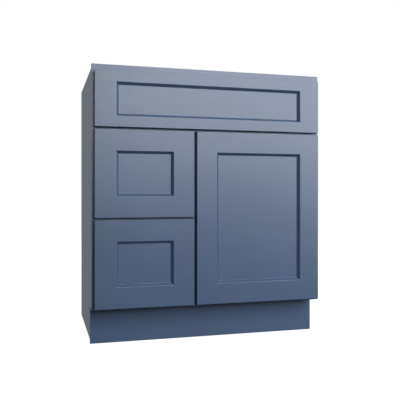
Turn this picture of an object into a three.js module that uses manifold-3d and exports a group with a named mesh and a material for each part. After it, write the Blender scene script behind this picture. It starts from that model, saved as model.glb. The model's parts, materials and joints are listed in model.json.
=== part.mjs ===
// A bathroom vanity base cabinet: a plywood box behind a solid wood face frame, with a fixed false
// front where the sink goes, two drawers on undermount slides, and one door on concealed hinges.
//
// Millimetres, +Z up. X runs along the front from the face frame's left edge, Y runs back from the
// face frame's front plane, and Z runs up from the floor. The exported group moves all of it so that
// the origin lies on the floor under the middle of the cabinet. The front faces -Y.

import * as THREE from "three";
import { mergeVertices } from "three/addons/utils/BufferGeometryUtils.js";
import Module from "manifold-3d";

// ---- Driving dimensions ------------------------------------------------------------------------

const INCH = 25.4;
const WIDTH = 30 * INCH; // over the face frame
const HEIGHT = 34.5 * INCH; // floor to the top edges
const BOX_DEPTH = 21 * INCH; // front of the face frame to the back
const KICK_HEIGHT = 4.5 * INCH;
const KICK_SETBACK = 2.25 * INCH;
const PLY = 0.5 * INCH; // side, bottom and back panels
const SCRIBE = 4; // how far the face frame stands past each side panel
const FIT = 0.3; // gap where two pieces meet

const FRAME_T = 0.75 * INCH; // face frame, front to back
const FRAME_W = 1.5 * INCH; // width of its stiles and rails

// Fronts: cope-and-stick frames round a flat panel
const FRONT_T = 0.75 * INCH;
const BUMPER = 2.4; // space that the bumpers keep between a front and the face frame
const SIDE_REVEAL = 7.5; // face frame showing at each side
const BOTTOM_REVEAL = 0.25 * INCH;
const FRONT_GAP = 6.5; // between a front and the one above it
const SIDE_GAP = 9; // between the drawers and the door
const DRAWER_FRONT_W = 313.25;
const DRAWER_FRONT_H = 273.7;
const FALSE_FRONT_H = 174;
const FACE_W = 66.7; // flat face of a stile or rail, outside its bevel
const FALSE_RAIL_FACE_W = 34.9;
const BEVEL_W = 7.6;
const BEVEL_D = 9.8; // depth of the bevel's foot
const RECESS = 11; // depth of the shoulder that the panel rests on
const GROOVE = 8; // how far the panel's groove runs into a stile or rail
const PANEL_T = 5.2;
const PANEL_PLAY = 1.2; // room for the panel to swell in its groove

// Drawer boxes
const BOX_SIDE_CLEARANCE = 5; // frame opening to box, each side
const BOX_T = 15.9;
const BOX_H = 6 * INCH;
const BOX_BACK = 455; // the box's back face
const BOX_LIFT = 14; // slide's underside to the box's lower edge
const BOX_BOTTOM_T = 6.35;
const BOX_BOTTOM_UP = 12.7; // box's lower edge to the underside of its bottom
const BOX_GROOVE = 6;

// Undermount slides
const SLIDE_T = 1.5; // sheet thickness
const SLIDE_FRONT = 20;
const SLIDE_BACK = 455;
const SLIDE_FLANGE_H = 34;
const SLIDE_WEB_W = 47.6;
const RIB_OFFSET = 33.6; // frame opening's edge to the middle of the slide's rib
const RIB_H = 20;
const RIB_HEAD_W = 10;
const CHANNEL_W = 20;
const CHANNEL_LOW = 8;
const CHANNEL_TOP = 26.2;
const CHANNEL_BACK = 438;

// Concealed hinges; both pivots' places are measured from the frame's and door's own faces
const HINGE_FROM_END = 85; // door's top or bottom edge to the hinge's centre
const ARM_PIVOT = [721, -4];
const CUP_PIVOT = [742, -3.5];
const CUP_CENTER_X = 732.5;
const CUP_R = 17.2;
const CUP_WALL = 1.2;
const CUP_FLOOR_Y = -13.3;
const PIN_R = 1;
const LINK_R = 2;
const LINK_HALF = 4; // half the link's height
const LUG_NEAR = 4.3; // lugs and cheeks stand between these distances from the hinge's centre
const LUG_FAR = 6.3;

const BRACKET_LEG = 64;
const BRACKET_T = 4;
const BRACKET_FLANGE_H = 28;
const BRACKET_HOLE_R = 4;

// ---- Places worked out from them ---------------------------------------------------------------

const FRONT_BACK_Y = -BUMPER;
const FRONT_FACE_Y = -(BUMPER + FRONT_T);
const SIDE_X = SCRIBE + PLY; // a side panel's inner face
const PANEL_Y = FRAME_T + FIT; // front edge of the box's panels
const BACK_PANEL_Y = BOX_DEPTH - PLY;
const BOTTOM_PANEL_Z = 136.3;

const DRAWERS_RIGHT = SIDE_REVEAL + DRAWER_FRONT_W;
const DOOR_LEFT = DRAWERS_RIGHT + SIDE_GAP;
const FRONTS_RIGHT = WIDTH - SIDE_REVEAL;
const LOWER_Z = KICK_HEIGHT + BOTTOM_REVEAL;
const UPPER_Z = LOWER_Z + DRAWER_FRONT_H + FRONT_GAP;
const FALSE_Z = UPPER_Z + DRAWER_FRONT_H + FRONT_GAP;
const DOOR_H = FALSE_Z - FRONT_GAP - LOWER_Z;

const CENTER_STILE_X = DRAWERS_RIGHT + SIDE_GAP / 2 - FRAME_W / 2;
const MIDDLE_RAIL_Z = FALSE_Z - FRONT_GAP / 2 - FRAME_W / 2;
const DRAWER_RAIL_Z = UPPER_Z - FRONT_GAP / 2 - FRAME_W / 2;
const BOTTOM_RAIL_TOP = KICK_HEIGHT + FRAME_W;
const BAY_X = (FRAME_W + CENTER_STILE_X) / 2; // middle of the drawers' opening
const SLIDE_LIFT = 0.6; // rail's top edge to the slide's underside
const LOWER_SLIDE_Z = BOTTOM_RAIL_TOP + SLIDE_LIFT;
const UPPER_SLIDE_Z = DRAWER_RAIL_Z + FRAME_W + SLIDE_LIFT;

// ---- Materials ---------------------------------------------------------------------------------

const finish = (color, roughness, metalness = 0) =>
  new THREE.MeshStandardMaterial({ color, roughness, metalness });
const paint = finish(0x465773, 0.45);
const plywood = finish(0xd9b98c, 0.6);
const maple = finish(0xe0c39a, 0.5);
const zinc = finish(0xb9bcc0, 0.35, 1);
const nickel = finish(0xc4c2bd, 0.25, 1);
const whitePlastic = finish(0xe6e4df, 0.5);

// ---- Shapes ------------------------------------------------------------------------------------

const wasm = await Module();
wasm.setup();

/** A closed geometry as a solid that can be joined and cut. */
function toSolid(geometry) {
  const bare = geometry.clone();
  bare.deleteAttribute("normal");
  bare.deleteAttribute("uv");
  const merged = mergeVertices(bare);
  return new wasm.Manifold(
    new wasm.Mesh({
      numProp: 3,
      vertProperties: new Float32Array(merged.attributes.position.array),
      triVerts: new Uint32Array(merged.index.array),
    }),
  );
}

/** Joins the geometries in whole, keeps what all of within share, and takes away those in less. */
function carve({ whole, within = [], less = [] }) {
  let solid = whole.map(toSolid).reduce((sum, piece) => sum.add(piece));
  for (const piece of within) solid = solid.intersect(toSolid(piece));
  for (const piece of less) solid = solid.subtract(toSolid(piece));
  const { vertProperties, triVerts } = solid.getMesh();
  const geometry = new THREE.BufferGeometry();
  geometry.setAttribute("position", new THREE.BufferAttribute(vertProperties, 3));
  geometry.setIndex(new THREE.BufferAttribute(triVerts, 1));
  const faceted = geometry.toNonIndexed();
  faceted.computeVertexNormals();
  return faceted;
}

/** A box that fills the three ranges. */
function block([x0, x1], [y0, y1], [z0, z1]) {
  const geometry = new THREE.BoxGeometry(x1 - x0, y1 - y0, z1 - z0);
  return geometry.translate((x0 + x1) / 2, (y0 + y1) / 2, (z0 + z1) / 2);
}

const X = new THREE.Vector3(1, 0, 0);
const Y = new THREE.Vector3(0, 1, 0);
const Z = new THREE.Vector3(0, 0, 1);
const TURN = {
  x: new THREE.Matrix4().makeBasis(Y, Z, X), // outline points are (y, z)
  y: new THREE.Matrix4().makeBasis(Z, X, Y), // outline points are (x, z)
  z: new THREE.Matrix4(), // outline points are (x, y)
};

/** An outline extruded along an axis over a range. */
function prism(outline, axis, [start, end]) {
  const points = outline.map(([a, b]) =>
    axis === "y" ? new THREE.Vector2(b, a) : new THREE.Vector2(a, b),
  );
  const options = { depth: end - start, bevelEnabled: false };
  const geometry = new THREE.ExtrudeGeometry(new THREE.Shape(points), options);
  return geometry.translate(0, 0, start).applyMatrix4(TURN[axis]);
}

/** Points on an arc, both ends included; angles are in degrees. */
function arc([cx, cy], r, from, to, steps = 12) {
  return Array.from({ length: steps + 1 }, (_, i) => {
    const a = THREE.MathUtils.degToRad(from + ((to - from) * i) / steps);
    return [cx + r * Math.cos(a), cy + r * Math.sin(a)];
  });
}

const circle = (center, r, steps = 24) => arc(center, r, 0, 360, steps).slice(0, -1);
const mirrored = (outline, middle) => outline.map(([a, b]) => [2 * middle - a, b]);

function piece(name, geometry, material, position = [0, 0, 0]) {
  const mesh = new THREE.Mesh(geometry, material);
  mesh.name = name;
  mesh.position.set(...position);
  return mesh;
}

function group(...members) {
  return new THREE.Group().add(...members);
}

// ---- Cabinet box -------------------------------------------------------------------------------

function sidePanel(name, x) {
  const back = BOX_DEPTH;
  const notchY = KICK_SETBACK + PLY + FIT;
  const outline = [
    [PANEL_Y, KICK_HEIGHT],
    [notchY, KICK_HEIGHT],
    [notchY, 0],
    [back, 0],
    [back, HEIGHT],
    [PANEL_Y, HEIGHT],
  ];
  return piece(name, prism(outline, "x", [0, PLY]), paint, [x, 0, 0]);
}

function cabinetBox() {
  const between = [SIDE_X + FIT, WIDTH - SIDE_X - FIT];
  const bottomDepth = [PANEL_Y, BACK_PANEL_Y - FIT];
  const bottomHeight = [BOTTOM_PANEL_Z, BOTTOM_PANEL_Z + PLY];
  const kickDepth = [KICK_SETBACK, KICK_SETBACK + PLY];
  return group(
    sidePanel("side_panel_left", SCRIBE),
    sidePanel("side_panel_right", WIDTH - SIDE_X),
    piece("bottom_panel", block(between, bottomDepth, bottomHeight), plywood),
    piece("back_panel", block(between, [BACK_PANEL_Y, BOX_DEPTH], [KICK_HEIGHT, HEIGHT]), plywood),
    piece("toe_kick_board", block([0, WIDTH], kickDepth, [0, KICK_HEIGHT - FIT]), paint),
  );
}

/** The face frame: two outer stiles full height, and rails and a center stile butted between them. */
function faceFrame() {
  const stiles = [
    ["frame_left_stile", 0, [KICK_HEIGHT, HEIGHT]],
    ["frame_right_stile", WIDTH - FRAME_W, [KICK_HEIGHT, HEIGHT]],
    ["frame_center_stile", CENTER_STILE_X, [BOTTOM_RAIL_TOP + FIT, MIDDLE_RAIL_Z - FIT]],
  ];
  const full = [FRAME_W + FIT, WIDTH - FRAME_W - FIT];
  const rails = [
    ["frame_top_rail", full, HEIGHT - FRAME_W],
    ["frame_middle_rail", full, MIDDLE_RAIL_Z],
    ["frame_bottom_rail", full, KICK_HEIGHT],
    ["frame_drawer_rail", [FRAME_W + FIT, CENTER_STILE_X - FIT], DRAWER_RAIL_Z],
  ];
  const depth = [0, FRAME_T];
  return group(
    ...stiles.map(([name, x, height]) =>
      piece(name, block([0, FRAME_W], depth, height), paint, [x, 0, 0]),
    ),
    ...rails.map(([name, length, z]) =>
      piece(name, block(length, depth, [0, FRAME_W]), paint, [0, 0, z]),
    ),
  );
}

/** One brace for a top corner, drawn for the front left corner and turned to the others. */
function cornerBracketShape() {
  const end = 12; // width left at the tip of each leg
  const plate = [
    [0, 0],
    [BRACKET_LEG, 0],
    [BRACKET_LEG, end],
    [end, BRACKET_LEG],
    [0, BRACKET_LEG],
  ];
  const flangeT = 3;
  const flange = [-BRACKET_FLANGE_H, 0];
  const holeAt = [BRACKET_LEG * 0.36, BRACKET_LEG * 0.36];
  return carve({
    whole: [
      prism(plate, "z", [-BRACKET_T, 0]),
      block([0, BRACKET_LEG], [0, flangeT], flange),
      block([0, flangeT], [0, BRACKET_LEG], flange),
    ],
    less: [prism(circle(holeAt, BRACKET_HOLE_R), "z", [-BRACKET_T - 1, 1])],
  });
}

function cornerBrackets() {
  const shape = cornerBracketShape();
  const left = SIDE_X + FIT;
  const right = WIDTH - SIDE_X - FIT;
  const front = FRAME_T + FIT;
  const back = BACK_PANEL_Y - FIT;
  const corners = [
    ["corner_bracket_front_left", left, front],
    ["corner_bracket_front_right", right, front],
    ["corner_bracket_back_right", right, back],
    ["corner_bracket_back_left", left, back],
  ];
  return group(
    ...corners.map(([name, x, y], quarter) => {
      const bracket = piece(name, shape, whitePlastic, [x, y, HEIGHT - 1]);
      bracket.rotation.z = (quarter * Math.PI) / 2;
      return bracket;
    }),
  );
}

// ---- Recessed-panel fronts ---------------------------------------------------------------------

/** The section of a stile or rail: flat face, bevel, shoulder and groove. u is across its width. */
function stickProfile(faceW, alongFirst) {
  const lip = faceW + BEVEL_W;
  const grooveBack = RECESS + PANEL_T + 2 * FIT;
  const points = [
    [0, 0],
    [faceW, 0],
    [lip, BEVEL_D],
    [lip, RECESS],
    [lip - GROOVE, RECESS],
    [lip - GROOVE, grooveBack],
    [lip, grooveBack],
    [lip, FRONT_T],
    [0, FRONT_T],
  ];
  return alongFirst ? points : points.map(([u, v]) => [v, u]);
}

/** The plan of a rail: its ends are coped to fit the stiles' bevels and tongued into their grooves. */
function copePlan(width) {
  const lip = FACE_W + BEVEL_W + FIT;
  const tongue = [RECESS + FIT, RECESS + PANEL_T + FIT];
  const leftEnd = [
    [FACE_W + FIT, 0],
    [lip, BEVEL_D],
    [lip, tongue[0]],
    [lip - GROOVE, tongue[0]],
    [lip - GROOVE, tongue[1]],
    [lip, tongue[1]],
    [lip, FRONT_T],
  ];
  return [...leftEnd, ...mirrored(leftEnd, width / 2).reverse()];
}

/** A cope-and-stick front. Its lower left corner is at the position, and its face at y = 0. */
function shakerFront(name, position, width, height, railFaceW = FACE_W, bores = []) {
  const stileLip = FACE_W + BEVEL_W;
  const railLip = railFaceW + BEVEL_W;
  const inset = GROOVE - PANEL_PLAY;
  const leftStile = stickProfile(FACE_W, true);
  const rightStile = mirrored(leftStile, width / 2);
  const bottomRail = stickProfile(railFaceW, false);
  const topRail = bottomRail.map(([y, z]) => [y, height - z]);
  const railEnds = prism(copePlan(width), "z", [-1, height + 1]);
  const rail = (outline) =>
    carve({ whole: [prism(outline, "x", [0, width])], within: [railEnds] });
  const right = prism(rightStile, "z", [0, height]);
  const panel = block(
    [stileLip - inset, width - stileLip + inset],
    [RECESS + FIT, RECESS + FIT + PANEL_T],
    [railLip - inset, height - railLip + inset],
  );
  const front = group(
    piece(`${name}_left_stile`, prism(leftStile, "z", [0, height]), paint),
    piece(`${name}_right_stile`, bores.length ? carve({ whole: [right], less: bores }) : right, paint),
    piece(`${name}_bottom_rail`, rail(bottomRail), paint),
    piece(`${name}_top_rail`, rail(topRail), paint),
    piece(`${name}_panel`, panel, paint),
  );
  front.position.set(...position);
  return front;
}

// ---- Drawers -----------------------------------------------------------------------------------

/** A drawer box standing on z, open at the top, with its bottom held in grooves. */
function drawerBox(name, z) {
  const half = (CENTER_STILE_X - FRAME_W) / 2 - BOX_SIDE_CLEARANCE;
  const inner = half - BOX_T;
  const front = FRONT_BACK_Y + FIT;
  const sideDepth = [front + BOX_T + FIT, BOX_BACK - BOX_T - FIT];
  const height = [0, BOX_H];
  const grooveReach = inner + BOX_GROOVE;
  const groove = block(
    [-grooveReach, grooveReach],
    [front + BOX_T - BOX_GROOVE, BOX_BACK - BOX_T + BOX_GROOVE],
    [BOX_BOTTOM_UP - FIT, BOX_BOTTOM_UP + BOX_BOTTOM_T + FIT],
  );
  const bottom = block(
    [-grooveReach + FIT, grooveReach - FIT],
    [front + BOX_T - BOX_GROOVE + FIT, BOX_BACK - BOX_T + BOX_GROOVE - FIT],
    [BOX_BOTTOM_UP, BOX_BOTTOM_UP + BOX_BOTTOM_T],
  );
  const notch = (side) => {
    const middle = side * (half + BOX_SIDE_CLEARANCE - RIB_OFFSET);
    const reach = CHANNEL_W / 2 + 2;
    const tall = [-1, BOX_BOTTOM_UP - FIT];
    return block([middle - reach, middle + reach], [BOX_BACK - BOX_T - 1, BOX_BACK + 1], tall);
  };
  const frontBoard = block([-half, half], [front, front + BOX_T], height);
  const backBoard = block([-half, half], [BOX_BACK - BOX_T, BOX_BACK], height);
  const sideBoard = (low, high) => carve({ whole: [block([low, high], sideDepth, height)], less: [groove] });
  const box = group(
    piece(`${name}_box_front`, carve({ whole: [frontBoard], less: [groove] }), maple),
    piece(`${name}_box_back`, carve({ whole: [backBoard], less: [groove, notch(-1), notch(1)] }), maple),
    piece(`${name}_box_left_side`, sideBoard(-half, -inner), maple),
    piece(`${name}_box_right_side`, sideBoard(inner, half), maple),
    piece(`${name}_box_bottom`, bottom, maple),
  );
  box.position.set(BAY_X, 0, z);
  return box;
}

/** The channel under a drawer that rides on the rib of the cabinet's slide. u = 0 is the rib. */
function slideChannel(name, middle, z) {
  const half = CHANNEL_W / 2;
  const inside = half - SLIDE_T;
  const lip = 2; // half the slot between the channel's inturned lips
  const lipTop = CHANNEL_LOW + SLIDE_T;
  const rightHalf = [
    [lip, CHANNEL_LOW],
    [half, CHANNEL_LOW],
    [half, CHANNEL_TOP],
  ];
  const rightInside = [
    [inside, CHANNEL_TOP - SLIDE_T],
    [inside, lipTop],
    [lip, lipTop],
  ];
  const outline = [
    ...rightHalf,
    ...mirrored(rightHalf, 0).reverse(),
    ...mirrored(rightInside, 0).reverse(),
    ...rightInside,
  ];
  return piece(name, prism(outline, "y", [SLIDE_FRONT, CHANNEL_BACK]), zinc, [middle, 0, z]);
}

/** The slide's cabinet member: flange on the frame, web, rib, and a strip back to the back panel. */
function slideRail(name, side, z) {
  const edge = BAY_X + side * (BAY_X - FRAME_W - FIT);
  const ribHalf = 1;
  const headHalf = RIB_HEAD_W / 2;
  const neck = RIB_H - SLIDE_T;
  const fromEdge = RIB_OFFSET - FIT;
  const section = [
    [0, 0],
    [SLIDE_WEB_W, 0],
    [SLIDE_WEB_W, SLIDE_T],
    [fromEdge + ribHalf, SLIDE_T],
    [fromEdge + ribHalf, neck],
    [fromEdge + headHalf, neck],
    [fromEdge + headHalf, RIB_H],
    [fromEdge - headHalf, RIB_H],
    [fromEdge - headHalf, neck],
    [fromEdge - ribHalf, neck],
    [fromEdge - ribHalf, SLIDE_T],
    [SLIDE_T, SLIDE_T],
    [SLIDE_T, SLIDE_FLANGE_H],
    [0, SLIDE_FLANGE_H],
  ];
  const outline = section.map(([u, v]) => [-side * u, v]);
  const span = (from, to) => (side < 0 ? [from, to] : [-to, -from]);
  const stripEnd = BACK_PANEL_Y - 2 * FIT;
  const shape = carve({
    whole: [
      prism(outline, "y", [SLIDE_FRONT, SLIDE_BACK]),
      block(span(0, SLIDE_T), [3, SLIDE_FRONT + 1], [0, SLIDE_FLANGE_H]),
      block(span(0, SLIDE_WEB_W / 2), [SLIDE_BACK - 1, stripEnd], [0, SLIDE_T]),
      block(span(0, SLIDE_WEB_W / 2), [stripEnd - SLIDE_T, stripEnd], [0, SLIDE_FLANGE_H]),
    ],
  });
  return piece(name, shape, zinc, [edge, 0, z]);
}

/** A drawer's moving pieces and the two slide rails that stay in the cabinet. */
function drawer(name, frontZ, slideZ) {
  const position = [SIDE_REVEAL, FRONT_FACE_Y, frontZ];
  const ribX = (side) => BAY_X + side * (BAY_X - FRAME_W - RIB_OFFSET);
  return group(
    shakerFront(`${name}_front`, position, DRAWER_FRONT_W, DRAWER_FRONT_H),
    drawerBox(name, slideZ + BOX_LIFT),
    slideChannel(`${name}_slide_left_channel`, ribX(-1), slideZ),
    slideChannel(`${name}_slide_right_channel`, ribX(1), slideZ),
    slideRail(`${name}_slide_left_rail`, -1, slideZ),
    slideRail(`${name}_slide_right_rail`, 1, slideZ),
  );
}

// ---- Door and its hinges -----------------------------------------------------------------------

/** The two plates, one each side of a hinge's centre, that an outline in plan makes. */
function plates(outline) {
  return [prism(outline, "z", [LUG_NEAR, LUG_FAR]), prism(outline, "z", [-LUG_FAR, -LUG_NEAR])];
}

/** The arm: a plate screwed to the frame's edge, and two cheeks that hold the link's front pin. */
function hingeArm() {
  const tipR = 2.4;
  const plateX = [WIDTH - FRAME_W - 2.3, WIDTH - FRAME_W - FIT];
  const bodyX = [ARM_PIVOT[0] - tipR, plateX[1]];
  const bodyBack = 16;
  const slotBack = 3;
  const cheek = [
    ...arc(ARM_PIVOT, tipR, 180, 360),
    [bodyX[1], slotBack],
    [bodyX[1], bodyBack],
    [bodyX[0], bodyBack],
  ];
  const screwHeights = [-16, 16];
  const screwHole = (z) => prism(circle([9.5, z], 2.2, 16), "x", [plateX[0] - 1, plateX[1] + 1]);
  return carve({
    whole: [
      ...plates(cheek),
      block(bodyX, [slotBack, bodyBack], [-LUG_FAR, LUG_FAR]),
      block(plateX, [1, 17.5], [-24, 24]),
    ],
    less: [
      prism(circle(ARM_PIVOT, PIN_R + FIT, 16), "z", [-LUG_FAR - 1, LUG_FAR + 1]),
      ...screwHeights.map(screwHole),
    ],
  });
}

/** The link between the two pivots, with its pins standing out at both ends. */
function hingeLink() {
  const pinReach = LUG_FAR + 0.5;
  const stadium = [...arc(ARM_PIVOT, LINK_R, 90, 270), ...arc(CUP_PIVOT, LINK_R, -90, 90)];
  const pin = (center) => prism(circle(center, PIN_R, 12), "z", [-pinReach, pinReach]);
  return carve({
    whole: [prism(stadium, "z", [-LINK_HALF, LINK_HALF]), pin(ARM_PIVOT), pin(CUP_PIVOT)],
  });
}

/** The cup: a round pot with a flat rim plate, and two lugs inside that hold the link's rear pin. */
function hingeCup() {
  const rim = -1.6;
  const innerR = CUP_R - CUP_WALL;
  const center = [CUP_CENTER_X, 0];
  const floor = CUP_FLOOR_Y + CUP_WALL;
  const earsHalf = 9;
  const earsReach = 26;
  const lugHalf = 3;
  const lug = [
    [CUP_PIVOT[0] - lugHalf, floor - 0.5],
    [CUP_PIVOT[0] + lugHalf, floor - 0.5],
    ...arc(CUP_PIVOT, 2.6, 0, 180),
  ];
  const round = (r, from, to) => prism(circle(center, r, 48), "y", [from, to]);
  const ears = [FRONT_BACK_Y + FIT, FRONT_BACK_Y + FIT + 1];
  const screwHole = (z) => prism(circle([CUP_CENTER_X, z], 2, 16), "y", [ears[0] - 1, ears[1] + 1]);
  const shell = carve({
    whole: [
      round(CUP_R, CUP_FLOOR_Y, rim),
      block([CUP_CENTER_X - earsHalf, CUP_CENTER_X + earsHalf], ears, [-earsReach, earsReach]),
    ],
    less: [
      round(innerR, floor, 0),
      block([CUP_CENTER_X + innerR - 3, CUP_CENTER_X + CUP_R + 1], [-4, 0], [-5.2, 5.2]),
      screwHole(-22),
      screwHole(22),
    ],
  });
  return carve({
    whole: [shell, ...plates(lug)],
    less: [prism(circle(CUP_PIVOT, PIN_R + FIT, 16), "z", [-LUG_FAR - 1, LUG_FAR + 1])],
  });
}

function door() {
  const heights = { lower: HINGE_FROM_END, upper: DOOR_H - HINGE_FROM_END };
  const boreR = CUP_R + 0.5;
  const boreEnd = FRONT_T + 1;
  const boreFloor = CUP_FLOOR_Y - FRONT_FACE_Y - 2 * FIT;
  const bore = (z) => prism(circle([CUP_CENTER_X - DOOR_LEFT, z], boreR, 48), "y", [boreFloor, boreEnd]);
  const bores = Object.values(heights).map(bore);
  const doorWidth = FRONTS_RIGHT - DOOR_LEFT;
  const shapes = [
    ["hinge_cup", hingeCup()],
    ["hinge_link", hingeLink()],
    ["hinge_arm", hingeArm()],
  ];
  return group(
    shakerFront("door", [DOOR_LEFT, FRONT_FACE_Y, LOWER_Z], doorWidth, DOOR_H, FACE_W, bores),
    ...Object.entries(heights).flatMap(([place, z]) =>
      shapes.map(([name, shape]) => piece(`${place}_${name}`, shape, nickel, [0, 0, LOWER_Z + z])),
    ),
  );
}

// ---- The whole cabinet -------------------------------------------------------------------------

const falseFrontWidth = FRONTS_RIGHT - SIDE_REVEAL;
const falseFrontAt = [SIDE_REVEAL, FRONT_FACE_Y, FALSE_Z];

const cabinet = group(
  cabinetBox(),
  faceFrame(),
  cornerBrackets(),
  shakerFront("false_front", falseFrontAt, falseFrontWidth, FALSE_FRONT_H, FALSE_RAIL_FACE_W),
  drawer("lower_drawer", LOWER_Z, LOWER_SLIDE_Z),
  drawer("upper_drawer", UPPER_Z, UPPER_SLIDE_Z),
  door(),
);
cabinet.position.set(-WIDTH / 2, -(FRONT_FACE_Y + BOX_DEPTH) / 2, 0);

export default group(cabinet);
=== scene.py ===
"""The looks of a painted bathroom vanity cabinet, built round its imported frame.

Everything is in metres in the frame's own axes: +Z up, +Y towards the wall, so the fronts face -Y.
Places come from the frame's boxes, and sizes that only the looks need are named here.
"""

import json
import math

import bmesh
import bpy
from mathutils import Matrix, Vector

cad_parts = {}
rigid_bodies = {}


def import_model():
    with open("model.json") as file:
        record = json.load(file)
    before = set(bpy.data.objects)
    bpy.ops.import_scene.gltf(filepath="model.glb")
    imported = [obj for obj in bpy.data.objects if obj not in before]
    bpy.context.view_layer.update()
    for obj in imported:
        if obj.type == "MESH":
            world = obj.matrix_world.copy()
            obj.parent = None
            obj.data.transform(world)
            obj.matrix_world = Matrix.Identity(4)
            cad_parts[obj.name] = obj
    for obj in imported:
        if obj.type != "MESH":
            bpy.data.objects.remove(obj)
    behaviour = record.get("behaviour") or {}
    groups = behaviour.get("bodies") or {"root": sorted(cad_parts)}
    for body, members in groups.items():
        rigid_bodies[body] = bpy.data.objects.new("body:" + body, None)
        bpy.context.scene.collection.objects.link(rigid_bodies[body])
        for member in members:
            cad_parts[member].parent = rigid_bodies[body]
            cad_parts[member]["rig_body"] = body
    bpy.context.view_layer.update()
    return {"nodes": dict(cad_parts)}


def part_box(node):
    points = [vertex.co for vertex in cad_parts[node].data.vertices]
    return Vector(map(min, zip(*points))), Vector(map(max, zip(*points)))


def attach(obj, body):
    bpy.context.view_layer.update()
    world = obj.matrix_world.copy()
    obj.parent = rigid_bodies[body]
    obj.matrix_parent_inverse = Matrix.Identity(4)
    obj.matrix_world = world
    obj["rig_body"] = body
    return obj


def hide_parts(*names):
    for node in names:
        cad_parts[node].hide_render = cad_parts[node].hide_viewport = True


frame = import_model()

NODES = frame["nodes"]
MM = 0.001

# ---- Sizes that the looks repeat from the design ------------------------------------------------

FIT = 0.3 * MM  # gap that the frame keeps between touching pieces
FRONT_T = 19.05 * MM
FACE_W = 66.7 * MM  # flat face of a front's stile, outside its bevel
BEVEL_W = 7.6 * MM
BEVEL_D = 9.8 * MM
RECESS = 11 * MM
GROOVE = 8 * MM
PANEL_T = 5.2 * MM

# ---- Sizes that only the looks have -------------------------------------------------------------

TOUCH = 0.03 * MM  # gap left where a glued joint shows
OUTER_R = 1.6 * MM  # rounding of a front's outer edges
BACK_R = 0.8 * MM
BREAK_R = 2.0 * MM  # rounding where the face breaks into the bevel
LAND = 0.8 * MM  # flat at the bevel's foot
COVE_R = 0.9 * MM
FOOT_R = 0.5 * MM
OVER = 1 * MM  # how far a cutter reaches past what it cuts
GOLDEN_ANGLE = 2.4  # radians; turns each screw's recess its own way

# ---- Names that repeat in the frame -------------------------------------------------------------

DRAWERS = ("upper_drawer", "lower_drawer")
HINGES = ("lower", "upper")
INWARDS = {"left": 1, "right": -1}  # towards the middle, along X, from each side of a drawer

# ---- Colours, linear ----------------------------------------------------------------------------

BLUE = (0.048, 0.080, 0.150)
BIRCH = (0.66, 0.47, 0.28)
BIRCH_DARK = (0.50, 0.32, 0.17)
MAPLE = (0.74, 0.56, 0.36)
MAPLE_DARK = (0.60, 0.41, 0.23)
PLY_CORE = (0.38, 0.22, 0.11)


# ================================================================================================
# Materials
# ================================================================================================


def new_material(name):
    """A material with its node tree and its Principled shader."""
    material = bpy.data.materials.new(name)
    material.use_nodes = True
    return material, material.node_tree, material.node_tree.nodes["Principled BSDF"]


def add(tree, kind, inputs=None, **settings):
    """A new node. Each input is a value, or another node's socket to link it to."""
    node = tree.nodes.new(kind)
    for key, value in settings.items():
        setattr(node, key, value)
    for key, value in (inputs or {}).items():
        if isinstance(value, bpy.types.NodeSocket):
            tree.links.new(value, node.inputs[key])
        else:
            node.inputs[key].default_value = value
    return node


def object_space(tree, scale=(1, 1, 1)):
    """The piece's own coordinates, stretched by scale."""
    own = add(tree, "ShaderNodeTexCoord").outputs["Object"]
    return add(tree, "ShaderNodeMapping", {"Vector": own, "Scale": scale}).outputs["Vector"]


def noise(tree, vector, scale, detail=3.0, roughness=0.5, distortion=0.0):
    """A noise value from 0 to 1."""
    inputs = {
        "Vector": vector,
        "Scale": scale,
        "Detail": detail,
        "Roughness": roughness,
        "Distortion": distortion,
    }
    return add(tree, "ShaderNodeTexNoise", inputs).outputs["Fac"]


def ramp(tree, factor, stops):
    """A colour that runs through stops of (place, colour)."""
    node = add(tree, "ShaderNodeValToRGB", {"Fac": factor})
    elements = node.color_ramp.elements
    while len(elements) < len(stops):
        elements.new(0.5)
    for element, (place, colour) in zip(elements, stops):
        element.position = place
        element.color = (*colour, 1)
    return node.outputs["Color"]


# Places of a Mix node's sockets when it mixes colours.
MIX_FACTOR, MIX_A, MIX_B, MIX_RESULT = 0, 6, 7, 2


def blended(tree, factor, first, second, blend="MIX"):
    """Two colours mixed by a factor."""
    node = add(tree, "ShaderNodeMix", data_type="RGBA", blend_type=blend)
    for index, value in ((MIX_FACTOR, factor), (MIX_A, first), (MIX_B, second)):
        if isinstance(value, bpy.types.NodeSocket):
            tree.links.new(value, node.inputs[index])
        elif isinstance(value, tuple):
            node.inputs[index].default_value = (*value, 1)
        else:
            node.inputs[index].default_value = value
    return node.outputs[MIX_RESULT]


def spread(tree, value, low, high):
    """A 0 to 1 value moved to the range from low to high."""
    inputs = {"Value": value, "To Min": low, "To Max": high}
    return add(tree, "ShaderNodeMapRange", inputs).outputs["Result"]


def connect(tree, shader, **sockets):
    """Links sockets to the shader's inputs, named with _ for a space."""
    for key, socket in sockets.items():
        tree.links.new(socket, shader.inputs[key.replace("_", " ")])


def bump(tree, shader, height, strength, distance):
    """Bumps the shader's surface by a height value."""
    inputs = {"Height": height, "Strength": strength, "Distance": distance}
    connect(tree, shader, Normal=add(tree, "ShaderNodeBump", inputs).outputs["Normal"])


def shade(colour, factor):
    """A colour made darker or lighter by a factor."""
    return tuple(channel * factor for channel in colour)


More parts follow.
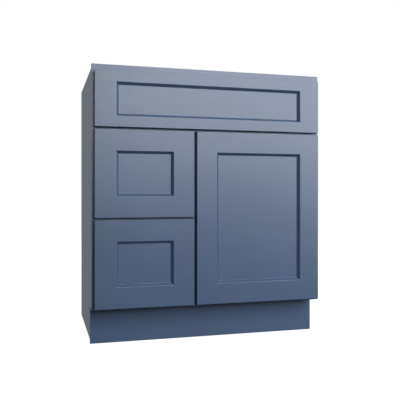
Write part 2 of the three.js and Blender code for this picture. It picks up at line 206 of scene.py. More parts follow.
def paint_material():
    """Catalysed satin paint: faint clouding, a little orange peel, uneven sheen."""
    material, tree, shader = new_material("blue_paint")
    where = object_space(tree)
    clouds = noise(tree, where, scale=7, detail=4)
    colour = ramp(tree, clouds, [(0.25, shade(BLUE, 0.95)), (0.75, shade(BLUE, 1.05))])
    specks = noise(tree, where, scale=2400, detail=1)
    colour = blended(tree, spread(tree, specks, 0.0, 0.06), colour, shade(BLUE, 1.5))
    sheen = spread(tree, noise(tree, where, scale=40, detail=3), 0.31, 0.38)
    peel = noise(tree, where, scale=520, detail=2, roughness=0.4)
    connect(tree, shader, Base_Color=colour, Roughness=sheen)
    bump(tree, shader, peel, strength=0.10, distance=0.06 * MM)
    return material


def grain_noise(tree, along, across_scale, along_scale, **settings):
    """Noise drawn out along the grain, by its scales across the grain and along it."""
    stretch = [across_scale] * 3
    stretch[along] = along_scale
    return noise(tree, object_space(tree, stretch), scale=1.0, **settings)


def wood_material(name, light, dark, along, finish=0.42):
    """Clear-coated wood with its grain along one axis, 0, 1 or 2."""
    material, tree, shader = new_material(name)
    figure = grain_noise(tree, along, 26.0, 1.1, detail=4, roughness=0.55, distortion=0.6)
    fibres = grain_noise(tree, along, 240.0, 5.0, detail=3)
    flecks = grain_noise(tree, along, 1500.0, 60.0, detail=1)
    colour = ramp(tree, figure, [(0.3, dark), (0.46, light), (0.6, shade(light, 0.94)), (0.72, light)])
    colour = blended(tree, spread(tree, fibres, 0.0, 0.35), colour, shade(dark, 0.92))
    colour = blended(tree, spread(tree, flecks, -0.25, 0.3), colour, shade(dark, 0.72))
    roughness = spread(tree, fibres, finish - 0.06, finish + 0.08)
    connect(tree, shader, Base_Color=colour, Roughness=roughness)
    bump(tree, shader, fibres, strength=0.12, distance=0.08 * MM)
    shader.inputs["Coat Weight"].default_value = 0.25
    shader.inputs["Coat Roughness"].default_value = 0.3
    return material


def end_grain_material(name, light, dark):
    """The sawn end of a board: small dark pores and faint rings."""
    material, tree, shader = new_material(name)
    rings = noise(tree, object_space(tree, (60, 60, 420)), scale=1.0, detail=3, distortion=0.4)
    pores = noise(tree, object_space(tree), scale=1500, detail=1)
    colour = ramp(tree, rings, [(0.35, dark), (0.65, light)])
    colour = blended(tree, spread(tree, pores, -0.2, 0.5), colour, shade(dark, 0.6))
    connect(tree, shader, Base_Color=colour, Roughness=spread(tree, pores, 0.5, 0.65))
    bump(tree, shader, pores, strength=0.2, distance=0.1 * MM)
    return material


def ply_edge_material(name, through):
    """A plywood panel's edge: its plies alternate through the thickness, along axis X, Y or Z."""
    material, tree, shader = new_material(name)
    ply_pair = 2.82 * MM
    wave_unit = 20  # the wave texture's phase per unit of its scale
    inputs = {
        "Vector": object_space(tree),
        "Scale": 2 * math.pi / (wave_unit * ply_pair),
        "Distortion": 0.5,
        "Detail": 1.0,
        "Detail Scale": 0.08,
    }
    settings = {"wave_type": "BANDS", "bands_direction": through, "wave_profile": "SIN"}
    plies = add(tree, "ShaderNodeTexWave", inputs, **settings).outputs["Fac"]
    colour = ramp(tree, plies, [(0.35, PLY_CORE), (0.6, BIRCH)])
    fibres = noise(tree, object_space(tree), scale=900, detail=2)
    colour = blended(tree, spread(tree, fibres, -0.2, 0.5), colour, shade(BIRCH_DARK, 0.7))
    connect(tree, shader, Base_Color=colour, Roughness=spread(tree, fibres, 0.55, 0.7))
    bump(tree, shader, plies, strength=0.25, distance=0.08 * MM)
    return material


def metal_material(name, colour, low, high, grain):
    """Plated steel, with a faint uneven polish."""
    material, tree, shader = new_material(name)
    where = object_space(tree)
    cells = add(tree, "ShaderNodeTexVoronoi", {"Vector": where, "Scale": grain}).outputs["Color"]
    tint = blended(tree, 0.06, colour, cells, "OVERLAY")
    haze = noise(tree, where, scale=grain * 0.7, detail=3)
    connect(tree, shader, Base_Color=tint, Roughness=spread(tree, haze, low, high))
    bump(tree, shader, noise(tree, where, scale=1800, detail=1), strength=0.05, distance=0.03 * MM)
    shader.inputs["Metallic"].default_value = 1.0
    return material


def plastic_material(name, colour, roughness):
    """Moulded plastic with a fine spark-eroded grain."""
    material, tree, shader = new_material(name)
    where = object_space(tree)
    tone = noise(tree, where, scale=30, detail=2)
    tint = ramp(tree, tone, [(0.3, shade(colour, 0.96)), (0.7, colour)])
    grain = noise(tree, where, scale=1600, detail=2)
    finish = spread(tree, grain, roughness - 0.05, roughness + 0.07)
    connect(tree, shader, Base_Color=tint, Roughness=finish)
    bump(tree, shader, grain, strength=0.15, distance=0.05 * MM)
    return material


PAINT = paint_material()
BIRCH_UP = wood_material("birch_grain_up", BIRCH, BIRCH_DARK, along=2)
BIRCH_ALONG = wood_material("birch_grain_along", BIRCH, BIRCH_DARK, along=0)
MAPLE_X = wood_material("maple_grain_x", MAPLE, MAPLE_DARK, along=0, finish=0.36)
MAPLE_Y = wood_material("maple_grain_y", MAPLE, MAPLE_DARK, along=1, finish=0.36)
MAPLE_END = end_grain_material("maple_end_grain", MAPLE_DARK, shade(MAPLE_DARK, 0.7))
PLY_X = ply_edge_material("ply_edge_x", "X")
PLY_Y = ply_edge_material("ply_edge_y", "Y")
PLY_Z = ply_edge_material("ply_edge_z", "Z")
ZINC = metal_material("zinc_plate", (0.62, 0.64, 0.67), 0.28, 0.42, grain=160)
NICKEL = metal_material("nickel_plate", (0.66, 0.64, 0.60), 0.14, 0.26, grain=60)
WHITE_PLASTIC = plastic_material("white_plastic", (0.55, 0.54, 0.51), 0.42)
GREY_PLASTIC = plastic_material("grey_plastic", (0.23, 0.24, 0.26), 0.5)
CLEAR_RUBBER = plastic_material("bumper_rubber", (0.62, 0.64, 0.62), 0.3)


# ================================================================================================
# Mesh tools
# ================================================================================================


def rounded(corners, steps=5):
    """Outline points for corners of ((a, b), radius): each corner turns on an arc of its radius."""
    points = []
    for i, (corner, radius) in enumerate(corners):
        at = Vector(corner)
        if radius == 0:
            points.append(at)
            continue
        back = (Vector(corners[i - 1][0]) - at).normalized()
        ahead = (Vector(corners[(i + 1) % len(corners)][0]) - at).normalized()
        half_angle = back.angle(ahead) / 2
        reach = radius / math.tan(half_angle)
        centre = at + (back + ahead).normalized() * (radius / math.sin(half_angle))
        first = at + back * reach - centre
        turn = (at + ahead * reach - centre).angle_signed(first)
        points += [centre + Matrix.Rotation(turn * k / steps, 2) @ first for k in range(steps + 1)]
    return [tuple(p) for p in points]


def arc(centre, radius, start, end, steps=8):
    """Points on an arc, both ends included; angles are in degrees."""
    angles = [math.radians(start + (end - start) * k / steps) for k in range(steps + 1)]
    return [(centre[0] + radius * math.cos(a), centre[1] + radius * math.sin(a)) for a in angles]


def turned(points, angle):
    """Points turned about the origin by an angle in degrees."""
    turn = Matrix.Rotation(math.radians(angle), 2)
    return [tuple(turn @ Vector(p)) for p in points]


def prism(outline, axis, low, high, bm=None):
    """A closed prism in bm. The outline is (y, z) along axis 0, (x, z) along 1 and (x, y) along 2."""
    bm = bm or bmesh.new()

    def corner(a, b, level):
        point = [a, b]
        point.insert(axis, level)
        return bm.verts.new(point)

    rings = [[corner(a, b, level) for a, b in outline] for level in (low, high)]
    faces = [bm.faces.new(ring) for ring in rings]
    for i in range(len(outline)):
        faces.append(bm.faces.new((rings[0][i - 1], rings[0][i], rings[1][i], rings[1][i - 1])))
    bmesh.ops.recalc_face_normals(bm, faces=faces)
    return bm


def block(low, high, bm=None):
    """A closed box between two corners, in bm."""
    rectangle = [(low[0], low[1]), (high[0], low[1]), (high[0], high[1]), (low[0], high[1])]
    return prism(rectangle, 2, low[2], high[2], bm)


def lathe(profile, steps=24):
    """A closed solid of (radius, height) points turned about Z; the ends lie on the axis."""
    bm = bmesh.new()
    turns = [2 * math.pi * k / steps for k in range(steps)]
    rings = []
    for radius, height in profile:
        angles = turns if radius else [0]
        rings.append([bm.verts.new((radius * math.cos(t), radius * math.sin(t), height)) for t in angles])
    faces = []
    for lower, upper in zip(rings, rings[1:]):
        for k in range(steps):
            if len(lower) == 1:
                corners = [lower[0], upper[k], upper[k - 1]]
            elif len(upper) == 1:
                corners = [lower[k - 1], lower[k], upper[0]]
            else:
                corners = [lower[k - 1], lower[k], upper[k], upper[k - 1]]
            faces.append(bm.faces.new(corners))
    bmesh.ops.recalc_face_normals(bm, faces=faces)
    return bm


def to_mesh(bm, name):
    """A mesh made from bm, which is freed."""
    mesh = bpy.data.meshes.new(name)
    bm.to_mesh(mesh)
    bm.free()
    return mesh


def new_object(name, data):
    """An object in the scene that holds a mesh, a light or a camera."""
    o = bpy.data.objects.new(name, data)
    bpy.context.scene.collection.objects.link(o)
    return o


def boolean(first, second, operation):
    """DIFFERENCE takes second from first, and INTERSECT keeps what they share."""
    objects = [new_object("work", to_mesh(bm, "work")) for bm in (first, second)]
    cut = objects[0].modifiers.new("cut", "BOOLEAN")
    cut.operation = operation
    cut.object = objects[1]
    cut.solver = "EXACT"
    graph = bpy.context.evaluated_depsgraph_get()
    mesh = bpy.data.meshes.new_from_object(objects[0].evaluated_get(graph))
    result = bmesh.new()
    result.from_mesh(mesh)
    for o in objects:
        bpy.data.meshes.remove(o.data)
    bpy.data.meshes.remove(mesh)
    return result


def repeated(template, places):
    """Copies of a template that faces +Z, merged. Each place is a seat and the way it faces."""
    mesh = to_mesh(template, "template")
    bm = bmesh.new()
    for k, (seat, facing) in enumerate(places):
        copy = mesh.copy()
        turn = Vector(facing).to_track_quat("Z", "Y").to_matrix().to_4x4()
        copy.transform(Matrix.Translation(seat) @ turn @ Matrix.Rotation(GOLDEN_ANGLE * k, 4, "Z"))
        bm.from_mesh(copy)
        bpy.data.meshes.remove(copy)
    bpy.data.meshes.remove(mesh)
    return bm


def shade_smooth(o):
    """Marks every polygon smooth."""
    o.data.polygons.foreach_set("use_smooth", [True] * len(o.data.polygons))


def weigh_normals(o):
    """Weighs the shading normals by the faces' areas, and keeps sharp edges sharp."""
    normals = o.modifiers.new("normals", "WEIGHTED_NORMAL")
    normals.keep_sharp = True
    normals.weight = 100


def smooth(o, angle=32):
    """Shades round what turns by less than angle degrees, and keeps flats flat."""
    shade_smooth(o)
    o.data.set_sharp_from_angle(angle=math.radians(angle))
    weigh_normals(o)


def ease(o, radius, segments=3):
    """Eases a piece's sharp edges; coplanar triangles are joined first."""
    weld = o.modifiers.new("weld", "WELD")
    weld.merge_threshold = 0.01 * MM
    flats = o.modifiers.new("flats", "DECIMATE")
    flats.decimate_type = "DISSOLVE"
    flats.angle_limit = math.radians(0.5)
    flats.delimit = {"MATERIAL"}
    bevel = o.modifiers.new("ease", "BEVEL")
    bevel.width = radius
    bevel.segments = segments
    bevel.limit_method = "ANGLE"
    bevel.angle_limit = math.radians(35)
    weigh_normals(o)


def body_of(node):
    """The name of the body that a CAD node belongs to."""
    return NODES[node]["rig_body"]


def make_piece(name, bm, body, slot, *materials, replaces=(), radius=0.0):
    """A finished piece from bm, riding on a body. A radius eases its sharp edges."""
    o = new_object(name, to_mesh(bm, name))
    for material in materials:
        o.data.materials.append(material)
    if radius:
        shade_smooth(o)
        ease(o, radius)
    else:
        smooth(o)
    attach(o, body)
    if replaces:
        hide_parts(*replaces)
    return o


def dress(node, slot, *materials, radius=0.4 * MM, pick=None):
    """Gives a CAD node its materials and eased edges. pick chooses a material for a polygon."""
    o = NODES[node]
    o.data.materials.clear()
    for material in materials:
        o.data.materials.append(material)
    for polygon in o.data.polygons:
        polygon.material_index = pick(polygon) if pick else 0
    shade_smooth(o)
    ease(o, radius)


# ================================================================================================
# Painted fronts and face frame
# ================================================================================================


def inner_edge(face, play=0.0):
    """Section of a stick's inner edge from its face to its back, as (across, depth) points."""
    lip = face + BEVEL_W
    shoulder = RECESS + play
    groove_back = RECESS + PANEL_T + 2 * FIT - play
    bevel = [((0, 0), 0), ((face, 0), BREAK_R), ((lip - LAND, BEVEL_D), COVE_R)]
    moulding = rounded(bevel + [((lip, BEVEL_D), FOOT_R), ((lip, shoulder), 0)])
    groove = [(lip - GROOVE, shoulder), (lip - GROOVE, groove_back), (lip, groove_back), (lip, FRONT_T)]
    return moulding[1:] + groove


def stick_section(face):
    """The whole section of a stile or rail, its outer edges rounded."""
    outer = rounded([((0, FRONT_T), BACK_R), ((0, 0), OUTER_R), ((face, 0), 0)])[:-1]
    return inner_edge(face) + outer


def cup_bores():
    """Holes for the hinge cups, sunk from the back of the door."""
    bm = bmesh.new()
    play = 0.5 * MM
    points = 48
    for place in HINGES:
        low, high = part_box(f"{place}_hinge_cup")
        middle = (low + high) / 2
        radius = (high.x - low.x) / 2 + play
        rim = arc((middle.x, middle.z), radius, 0, 360 - 360 / points, steps=points - 1)
        prism(rim, 1, low.y - 2 * FIT, high.y + FRONT_T, bm)
    return bm


def front_pieces(name):
    """The five pieces of a cope-and-stick front, with tight joints and rounded edges."""
    parts = {p: f"{name}_{p}" for p in ("left_stile", "right_stile", "bottom_rail", "top_rail")}
    body = body_of(parts["left_stile"])
    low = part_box(parts["left_stile"])[0]
    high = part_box(parts["right_stile"])[1]
    rail_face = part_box(parts["bottom_rail"])[1].z - low.z - BEVEL_W

    def corner_waste(bm, z, inwards):
        """What rounding takes from the stiles' front edge at one end."""
        quarter = arc((low.y + OUTER_R, z + inwards * OUTER_R), OUTER_R, 180, 180 + inwards * 90)
        outside = [(low.y + OUTER_R, z - inwards * OVER), (low.y - OVER, z - inwards * OVER)]
        outline = quarter + outside + [(low.y - OVER, z + inwards * OUTER_R)]
        return prism(outline, 0, low.x - OVER, high.x + OVER, bm)

    def add_part(part, bm):
        make_piece(f"painted_{parts[part]}", bm, body, "blue_paint", PAINT, replaces=[parts[part]])

    section = stick_section(FACE_W)
    for part, edge, inwards in (("left_stile", low.x, 1), ("right_stile", high.x, -1)):
        outline = [(edge + inwards * u, low.y + v) for u, v in section]
        waste = corner_waste(corner_waste(None, low.z, 1), high.z, -1)
        stile = boolean(prism(outline, 2, low.z, high.z), waste, "DIFFERENCE")
        if (name, part) == ("door", "right_stile"):
            stile = boolean(stile, cup_bores(), "DIFFERENCE")
        add_part(part, stile)

    cope = inner_edge(FACE_W, FIT)
    left_end = [(cope[0][0], -OVER), *cope, (cope[-1][0], FRONT_T + OVER)]
    plan = [(low.x + TOUCH + u, low.y + v) for u, v in left_end]
    plan += [(high.x - TOUCH - u, low.y + v) for u, v in reversed(left_end)]
    section = stick_section(rail_face)
    for part, edge, inwards in (("bottom_rail", low.z, 1), ("top_rail", high.z, -1)):
        outline = [(low.y + v, edge + inwards * u) for u, v in section]
        stick = prism(outline, 0, low.x + GROOVE, high.x - GROOVE)
        ends = prism(plan, 2, low.z - OVER, high.z + OVER)
        add_part(part, boolean(stick, ends, "INTERSECT"))
    dress(f"{name}_panel", "blue_paint", PAINT)


def face_frame():
    """The face frame's members, butted tight. Only its outline is rounded enough to catch light."""
    members = [n for n in NODES if n.startswith("frame_")]
    low = Vector([min(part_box(n)[0][k] for n in members) for k in range(3)])
    high = Vector([max(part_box(n)[1][k] for n in members) for k in range(3)])
    joint_r, outline_r = 0.15 * MM, 0.8 * MM
    closes = FIT - TOUCH
    for node in members:
        start, end = (Vector(corner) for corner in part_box(node))
        along = 2 if "stile" in node else 0
        if start[along] > low[along] + FIT:
            start[along] -= closes
        if end[along] < high[along] - FIT:
            end[along] += closes
        bm = block(start, end)
        weight = bm.edges.layers.float.new("bevel_weight_edge")
        for edge in bm.edges:
            middle = (edge.verts[0].co + edge.verts[1].co) / 2
            rim = any(abs(middle[k] - side[k]) < FIT for k in (0, 2) for side in (low, high))
            edge[weight] = 1.0 if rim else joint_r / outline_r
        o = make_piece(f"painted_{node}", bm, "cabinet", "blue_paint", PAINT, replaces=[node])
        bevel = o.modifiers.new("ease", "BEVEL")
        bevel.width = outline_r
        bevel.segments = 3
        bevel.limit_method = "WEIGHT"
        o.modifiers.move(len(o.modifiers) - 1, 0)


for front in ("false_front", "door", "upper_drawer_front", "lower_drawer_front"):
    front_pieces(front)
face_frame()


# ================================================================================================
# Cabinet box and hardware
# ================================================================================================


def panel_faces(axis, inner_sign):
    """Picks 0 for a panel's outer face, 1 for its inner face and 2 for its edges."""

    def pick(polygon):
        lean = polygon.normal[axis]
        if abs(lean) < 0.5:
            return 2
        return 1 if lean * inner_sign > 0 else 0

    return pick


dress("side_panel_left", "blue_paint", PAINT, BIRCH_UP, PLY_X, pick=panel_faces(0, 1))
dress("side_panel_right", "blue_paint", PAINT, BIRCH_UP, PLY_X, pick=panel_faces(0, -1))
dress("back_panel", "birch_plywood", BIRCH_UP, BIRCH_UP, PLY_Y, pick=panel_faces(1, -1))
dress("bottom_panel", "birch_plywood", BIRCH_ALONG, BIRCH_ALONG, PLY_Z, pick=panel_faces(2, 1))
dress("toe_kick_board", "blue_paint", PAINT, radius=0.8 * MM)

for node in NODES:
    if node.startswith("corner_bracket"):
        dress(node, "white_plastic", WHITE_PLASTIC, radius=0.6 * MM)
    elif "slide" in node:
        dress(node, "zinc_steel", ZINC, radius=0.25 * MM)
    elif "hinge" in node:
        dress(node, "nickel_steel", NICKEL, radius=0.2 * MM)
    elif node.endswith("box_bottom"):
        dress(node, "drawer_wood", BIRCH_ALONG, radius=0.3 * MM)


# ================================================================================================
# Drawer boxes
# ================================================================================================

TAILS = 5  # at each corner
BOARD_T = 15.9 * MM
TAIL_ROOT = 17 * MM
TAIL_SLOPE = 1 / 6


def tail(z, root, outwards, play=0.0, over=0.0):
    """A dovetail's outline as (y, z). It widens outwards; play and over enlarge it to a socket."""
    reaches = (-over, BOARD_T + over)
    near, far = (root + outwards * reach for reach in reaches)
    near_half, far_half = (TAIL_ROOT / 2 + TAIL_SLOPE * reach + play for reach in reaches)
    return [(near, z - near_half), (far, z - far_half), (far, z + far_half), (near, z + near_half)]


def mark_end_grain(bm, along):
    """Gives the second material to the faces that are cut across the grain."""
    bm.normal_update()
    for face in bm.faces:
        face.material_index = int(abs(face.normal[along]) > 0.9)
    return bm


def drawer_box(drawer):
    """Dovetailed boards round the drawer's bottom panel, which sits in their groove."""
    sides = ("front", "back", "left_side", "right_side", "bottom")
    front, back, left, right, bottom = (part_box(f"{drawer}_box_{side}") for side in sides)
    body = body_of(f"{drawer}_box_bottom")
    low, high = front[0], back[1]
    pitch = (high.z - low.z) / TAILS
    heights = [low.z + (k + 0.5) * pitch for k in range(TAILS)]
    fit = Vector((FIT, FIT, FIT))
    room = Vector((2 * MM, 0, 0))  # beside each slide, in its notch

    def add_board(side, bm, along, grain):
        groove = block(bottom[0] - fit, bottom[1] + fit)
        board = mark_end_grain(boolean(bm, groove, "DIFFERENCE"), along)
        node = f"{drawer}_box_{side}"
        options = {"replaces": [node], "radius": 0.3 * MM}
        make_piece(f"{drawer}_{side}_board", board, body, "drawer_wood", grain, MAPLE_END, **options)

    roots = {"front": front[1].y, "back": back[0].y}
    outline = [(roots["front"], low.z)]
    outline += [point for z in heights for point in tail(z, roots["front"], -1)]
    outline += [(roots["front"], high.z), (roots["back"], high.z)]
    outline += [point for z in heights[::-1] for point in tail(z, roots["back"], 1)[::-1]]
    outline += [(roots["back"], low.z)]
    for side, box in (("left_side", left), ("right_side", right)):
        add_board(side, prism(outline, 0, box[0].x, box[1].x), 1, MAPLE_Y)

    for side, box, outwards in (("front", front, -1), ("back", back, 1)):
        waste = bmesh.new()
        for z in heights:
            socket = tail(z, roots[side], outwards, play=TOUCH, over=OVER)
            prism(socket, 0, low.x - OVER, left[1].x + TOUCH, waste)
            prism(socket, 0, right[0].x - TOUCH, high.x + OVER, waste)
        if side == "back":
            for hand in INWARDS:
                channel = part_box(f"{drawer}_slide_{hand}_channel")
                notch_low = Vector((channel[0].x, box[0].y - OVER, box[0].z - OVER)) - room
                notch_high = Vector((channel[1].x, box[1].y + OVER, bottom[0].z - 2 * FIT)) + room
                block(notch_low, notch_high, waste)
        add_board(side, boolean(block(*box), waste, "DIFFERENCE"), 0, MAPLE_X)


for drawer in DRAWERS:
    drawer_box(drawer)


# ================================================================================================
# Fasteners and trim
# ================================================================================================

# Screw heads, as radius and height.
EAR_SCREW = (3.2 * MM, 0.7 * MM)
PLATE_SCREW = (3.6 * MM, 1.9 * MM)
SLIDE_SCREW = (3.4 * MM, 1.5 * MM)
WOOD_SCREW = (4 * MM, 2.3 * MM)

FRAME_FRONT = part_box("frame_left_stile")[0].y
FRAME_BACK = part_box("frame_left_stile")[1].y
DOOR_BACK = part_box("door_left_stile")[1].y  # the drawer fronts' backs are level with it


def screw(radius, height):
    """A screw's head with a cross recess. It sits at the origin and faces +Z."""
    shares = [(0, -0.5), (0.5, -0.5), (0.5, 0), (1, 0), (1, 0.4), (0.86, 0.75), (0.5, 0.95), (0, 1)]
    head = lathe([(r * radius, z * height) for r, z in shares])
    wing, reach = 0.12 * radius, 0.55 * radius
    recess_floor, clear_of_head = 0.4 * height, 1.5 * height
    arm = [(wing, wing), (reach, wing), (reach, -wing)]
    cross = [p for k in range(4) for p in turned(arm, -90 * k)]
    return boolean(head, prism(cross, 2, recess_floor, clear_of_head), "DIFFERENCE")


def add_screws(name, body, head, places, slot="zinc_steel", material=ZINC):
    """One piece of equal screws. Each place is a seat and the way its head faces."""
    make_piece(name, repeated(screw(*head), places), body, slot, material)


def hinge_screws():
    """Screws through the cups' ears into the door, and through the arms' plates into the stile."""
    ear, ear_t = 22 * MM, 1 * MM
    hole, hole_from_back, plate_t = 16 * MM, 8 * MM, 2 * MM
    in_door, in_frame = [], []
    for place in HINGES:
        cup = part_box(f"{place}_hinge_cup")
        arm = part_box(f"{place}_hinge_arm")
        middle = (cup[0] + cup[1]) / 2
        seat_y = DOOR_BACK + FIT + ear_t
        in_door += [((middle.x, seat_y, middle.z + k * ear), (0, 1, 0)) for k in (-1, 1)]
        plate = (arm[1].x - plate_t, arm[1].y - hole_from_back)
        in_frame += [((*plate, middle.z + k * hole), (-1, 0, 0)) for k in (-1, 1)]
    options = {"slot": "nickel_steel", "material": NICKEL}
    add_screws("hinge_ear_screws", "door", EAR_SCREW, in_door, **options)
    add_screws("hinge_plate_screws", "cabinet", PLATE_SCREW, in_frame, **options)


def slide_screws():
    """Screws through the front flanges of the slides' cabinet members into the face frame."""
    sheet_t, behind_face = 1.5 * MM, 11 * MM
    heights = (8 * MM, 26 * MM)
    places = []
    for drawer in DRAWERS:
        for hand, inwards in INWARDS.items():
            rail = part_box(f"{drawer}_slide_{hand}_rail")
            edge = rail[0].x if hand == "left" else rail[1].x
            x = edge + inwards * sheet_t
            places += [((x, FRAME_FRONT + behind_face, rail[0].z + up), (inwards, 0, 0)) for up in heights]
    add_screws("slide_screws", "cabinet", SLIDE_SCREW, places)


def front_screws():
    """Screws that hold the drawer fronts and the false front on, driven from behind them."""
    backwards = (0, 1, 0)
    columns, rows = (-70 * MM, 70 * MM), (42 * MM, 118 * MM)
    for drawer in DRAWERS:
        low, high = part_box(f"{drawer}_box_front")
        centre_x = (low.x + high.x) / 2
        places = [((centre_x + x, high.y, low.z + z), backwards) for x in columns for z in rows]
        add_screws(f"{drawer}_front_screws", body_of(f"{drawer}_box_front"), WOOD_SCREW, places)
    columns = (-270 * MM, 0, 270 * MM)
    below_edge = 9 * MM
    top_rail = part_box("frame_top_rail")
    middle_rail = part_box("frame_middle_rail")
    heights = ((top_rail[0].z + top_rail[1].z) / 2, middle_rail[1].z - below_edge)
    places = [((x, FRAME_BACK, z), backwards) for x in columns for z in heights]
    add_screws("false_front_screws", "cabinet", WOOD_SCREW, places)


def bumpers():
    """Clear domes stuck on the backs of the fronts, where they meet the face frame."""
    dome = [(0, 0), (4.5, 0), (4.4, 0.8), (3.7, 1.6), (2.3, 2.1), (0, 2.2)]  # mm
    from_edge = 7.5 * MM
    fronts = {"lower_drawer": "lower_drawer_front", "upper_drawer": "upper_drawer_front", "door": "door"}
    for owner, front in fronts.items():
        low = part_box(f"{front}_left_stile")[0]
        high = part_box(f"{front}_right_stile")[1]
        columns = [low.x + from_edge]
        if owner != "door":
            columns.append(high.x - from_edge)
        rows = (low.z + from_edge, high.z - from_edge)
        places = [((x, DOOR_BACK, z), (0, 1, 0)) for x in columns for z in rows]
        domes = repeated(lathe([(r * MM, z * MM) for r, z in dome]), places)
        body = body_of(f"{front}_left_stile")
        make_piece(f"{owner}_bumpers", domes, body, "white_plastic", CLEAR_RUBBER)


def catch_outline(corners, start, inwards):
    """A rounded outline from corners of (across, back, radius) in mm, counted from start."""
    return rounded([((start[0] + inwards * a * MM, start[1] + b * MM), r * MM) for a, b, r in corners])


def slide_catches():
    """Grey catches under each drawer's front corners, with the lever that frees the slide."""
    base = [(0, 0, 1), (22, 0, 3), (22, 34, 5), (12, 54, 4), (0, 54, 1)]
    lever = [(4, 2, 1), (28, 2, 3), (28, 10, 3), (18, 16, 4), (14, 38, 3), (4, 38, 2)]
    base_t, lever_t = 5 * MM, 5.5 * MM
    slide_gap, board_gap = 0.8 * MM, 0.6 * MM
    for drawer in DRAWERS:
        body = body_of(f"{drawer}_box_front")
        behind_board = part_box(f"{drawer}_box_front")[1].y + board_gap
        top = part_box(f"{drawer}_box_bottom")[0].z - FIT
        split = top - base_t
        for hand, inwards in INWARDS.items():
            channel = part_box(f"{drawer}_slide_{hand}_channel")
            inner_side = channel[1].x if hand == "left" else channel[0].x
            start = (inner_side + inwards * slide_gap, behind_board)
            bm = prism(catch_outline(base, start, inwards), 2, split, top)
            prism(catch_outline(lever, start, inwards), 2, split - lever_t, split - FIT, bm)
            name = f"{drawer}_{hand}_catch"
            make_piece(name, bm, body, "white_plastic", GREY_PLASTIC, radius=0.5 * MM)


def bracket_trim():
    """Ribs under the corner brackets' plates, and the screws through their flanges."""
    flange_t, plate_t, rib, half_t = 3 * MM, 4 * MM, 20 * MM, 1 * MM
    rib_runs = (15 * MM, 50 * MM)
    screw_run, screw_drop = 33 * MM, 16 * MM
    ribs = bmesh.new()
    seats = []
    for node in (n for n in NODES if n.startswith("corner_bracket")):
        low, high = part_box(node)
        right, back = "right" in node, "back" in node
        corner = Vector((high.x if right else low.x, high.y if back else low.y))
        into = Vector((-1 if right else 1, -1 if back else 1))
        under = high.z - plate_t
        for run in rib_runs:
            for axis in (0, 1):
                across = 1 - axis
                at = corner[axis] + into[axis] * run
                wall = corner[across] + into[across] * flange_t
                tip = wall + into[across] * rib
                triangle = [(wall, under), (tip, under), (wall, under - rib)]
                prism(triangle, axis, at - half_t, at + half_t, ribs)
        for axis in (0, 1):
            seat = Vector((*(corner + into * flange_t), high.z - screw_drop))
            seat[axis] = corner[axis] + into[axis] * screw_run
            facing = Vector((0, 0, 0))
            facing[1 - axis] = into[1 - axis]
            seats.append((seat, facing))
    make_piece("bracket_ribs", ribs, "cabinet", "white_plastic", WHITE_PLASTIC, radius=0.3 * MM)
    add_screws("bracket_screws", "cabinet", WOOD_SCREW, seats)


def back_staples():
    """Crown staples along the back panel's edges, driven nearly flush."""
    low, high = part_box("back_panel")
    inset, from_end, pitch = 6.4 * MM, 30 * MM, 96 * MM
    long, short, proud = 5.5 * MM, 0.6 * MM, 0.25 * MM  # half of a crown's length, width and height
    bm = bmesh.new()

    def staple(x, z, half_x, half_z):
        crown = [(x - half_x, z - half_z), (x + half_x, z - half_z), (x + half_x, z + half_z)]
        prism(crown + [(x - half_x, z + half_z)], 1, high.y - proud, high.y + proud, bm)

    rows = int((high.z - low.z) / pitch)
    for k in range(rows + 1):
        z = low.z + from_end + k * (high.z - low.z - 2 * from_end) / rows
        for x in (low.x + inset, high.x - inset):
            staple(x, z, short, long)
    columns = int((high.x - low.x) / pitch)
    for k in range(1, columns):
        x = low.x + k * (high.x - low.x) / columns
        staple(x, low.z + inset, long, short)
    make_piece("back_staples", bm, "cabinet", "zinc_steel", ZINC, radius=0.15 * MM)


hinge_screws()
slide_screws()
front_screws()
bumpers()
slide_catches()
bracket_trim()
back_staples()


# ================================================================================================
# Studio and camera
# ================================================================================================

WHITE = (1.0, 1.0, 1.0)
WARM_WHITE = (1.0, 0.981, 0.945)

# Each light's place, the point it faces, its size, its watts and its colour.
LIGHTS = {
    "key": ((1.05, -3.0, 2.0), (0.1, -0.27, 1.2), (3.2, 2.6), 185, WARM_WHITE),
    "rim": ((-1.5, 3.2, 0.5), (-0.38, 0.1, 0.4), (2.0, 3.4), 6.8, WHITE),
    "left": ((-2.8, 0.9, 1.3), (-0.38, 0.0, 0.45), (1.6, 1.6), 32, WHITE),
    "low": ((2.2, -2.5, 0.6), (0.05, -0.25, 0.3), (1.4, 0.8), 14, WHITE),
    "back": ((1.1, 3.2, 1.9), (0.0, 0.25, 0.4), (2.4, 2.0), 90, WHITE),
    "top": ((0.2, 0.9, 2.6), (0.0, -0.2, 0.4), (2.6, 1.6), 60, WHITE),
}


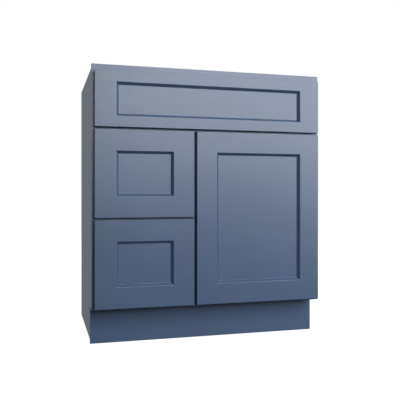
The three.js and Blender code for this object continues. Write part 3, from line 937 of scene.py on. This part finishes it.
def stage_floor():
    """A plain pale floor that throws no light back.

    It glows white, but less near the cabinet: the dimmer glow there is a painted shadow, and the lights'
    own faint shadow on its matt part shows there too. It blocks no light either: the rim light reaches
    below it, as its reflection in a white floor would.
    """
    half = 30.0
    corners = ((-half, -half), (half, -half), (half, half), (-half, half))
    bm = bmesh.new()
    bm.faces.new([bm.verts.new((x, y, 0)) for x, y in corners])
    floor = new_object("floor", to_mesh(bm, "floor"))
    material = bpy.data.materials.new("pale_floor")
    material.use_nodes = True
    tree = material.node_tree
    tree.nodes.clear()
    matt = add(tree, "ShaderNodeBsdfDiffuse", {"Color": (0.2, 0.2, 0.2, 1)}).outputs[0]
    # Painted shadow: the glow dims in a disc round the cabinet's foot, from far_glow out there to
    # near_glow under it.
    shaded_reach = 2.2
    near_glow, far_glow = 0.88, 1.0
    where = object_space(tree, [1 / shaded_reach] * 3)
    near = add(tree, "ShaderNodeTexGradient", {"Vector": where}, gradient_type="SPHERICAL").outputs["Fac"]
    strength = spread(tree, near, far_glow, near_glow)
    glow = add(tree, "ShaderNodeEmission", {"Strength": strength}).outputs[0]
    both = add(tree, "ShaderNodeAddShader", {0: matt, 1: glow}).outputs[0]
    add(tree, "ShaderNodeOutputMaterial", {"Surface": both})
    floor.data.materials.append(material)
    floor.visible_diffuse = False
    floor.visible_glossy = False
    floor.visible_shadow = False


def studio_world():
    """White where the camera sees it, and a dim grey fill where it lights the cabinet."""
    world = bpy.data.worlds.new("studio")
    world.use_nodes = True
    tree = world.node_tree
    tree.nodes.clear()
    white = (*WHITE, 1)
    seen = add(tree, "ShaderNodeLightPath").outputs["Is Camera Ray"]
    fill = add(tree, "ShaderNodeBackground", {"Color": white, "Strength": 0.09}).outputs[0]
    backdrop = add(tree, "ShaderNodeBackground", {"Color": white, "Strength": 1.0}).outputs[0]
    mixed = add(tree, "ShaderNodeMixShader", {0: seen, 1: fill, 2: backdrop}).outputs[0]
    add(tree, "ShaderNodeOutputWorld", {"Surface": mixed})
    bpy.context.scene.world = world


def area_light(name, place, target, size, watts, colour):
    """A rectangular softbox at place, facing target."""
    light = bpy.data.lights.new(name, "AREA")
    light.shape = "RECTANGLE"
    light.size, light.size_y = size
    light.energy = watts
    light.color = colour
    o = new_object(name, light)
    o.location = place
    o.rotation_euler = (Vector(target) - Vector(place)).to_track_quat("-Z", "Y").to_euler()


def studio_camera():
    """Level, in front of the cabinet and past its left edge, turned a little to the right."""
    camera = bpy.data.cameras.new("camera")
    camera.sensor_width = 36.0
    camera.lens = 52.22
    camera.shift_x = -0.01215
    camera.shift_y = -0.0128
    o = new_object("camera", camera)
    o.location = (-0.52945, -2.06525, 0.47195)
    o.rotation_euler = (math.radians(90), 0, math.radians(-15.741))
    bpy.context.scene.camera = o


stage_floor()
studio_world()
for light_name, settings in LIGHTS.items():
    area_light(light_name, *settings)
studio_camera()
bpy.context.scene.view_settings.view_transform = "Standard"
